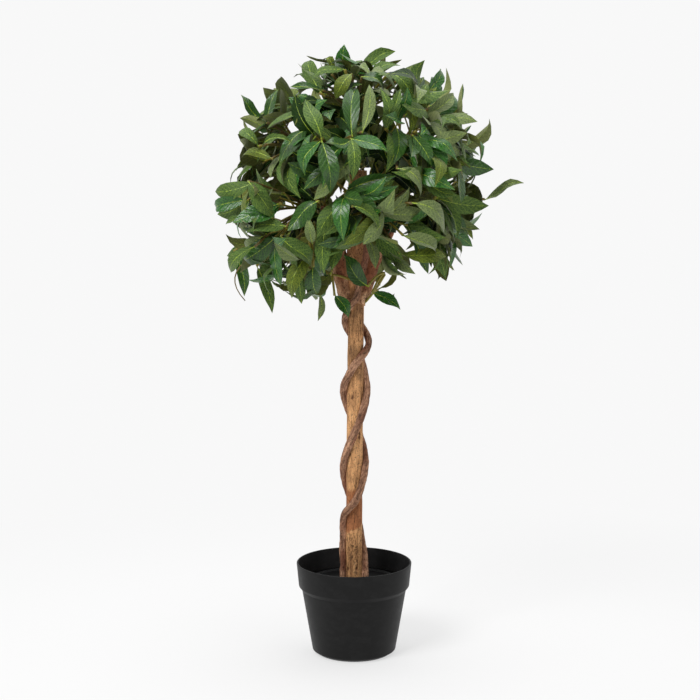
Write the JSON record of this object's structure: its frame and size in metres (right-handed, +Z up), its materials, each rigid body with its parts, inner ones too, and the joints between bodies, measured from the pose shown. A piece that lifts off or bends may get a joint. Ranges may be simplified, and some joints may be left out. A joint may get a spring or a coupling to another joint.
{
  "type": "artificial bay topiary standard in a pot",
  "caption": "Artificial bay standard: a ball of leaf sprays on a straight wooden stem wound with lianas, standing in a round tapered pot.",
  "frame": {"origin": "middle of the pot's flat underside, on the floor it stands on", "axes": "+Z up along the stem; -Y is the front, towards the viewer; +X to the right seen from the front"},
  "size_m": [0.4432, 0.3857, 0.89],
  "materials": {
    "pot": "charcoal black moulded plastic, satin with faint scuffs",
    "fill": "weighted fill under a black cover disc with a raised ring",
    "trunk_wood": "peeled natural wood, tan with red-brown patches and small knots",
    "liana_bark": "dark brown fibrous bark with long grooves",
    "bough_bark": "red-brown flaking bark",
    "foliage": "printed polyester leaves, deep green above, sage below, with yellow-green midribs, on moulded yellow-green stems"
  },
  "bodies": {
    "root": {"pot": "pot", "pot_fill": "fill", "trunk": "trunk_wood", "liana_left": "liana_bark", "liana_right": "liana_bark", "bough_left": "bough_bark", "bough_right": "bough_bark", "mass_top": "foliage", "mass_upper_1": "foliage", "mass_upper_2": "foliage", "mass_upper_3": "foliage", "mass_upper_4": "foliage", "mass_upper_5": "foliage", "mass_lower_1": "foliage", "mass_lower_2": "foliage", "mass_lower_3": "foliage", "mass_lower_4": "foliage", "mass_lower_5": "foliage", "mass_under_1": "foliage", "mass_under_2": "foliage"}
  },
  "joints": []
}
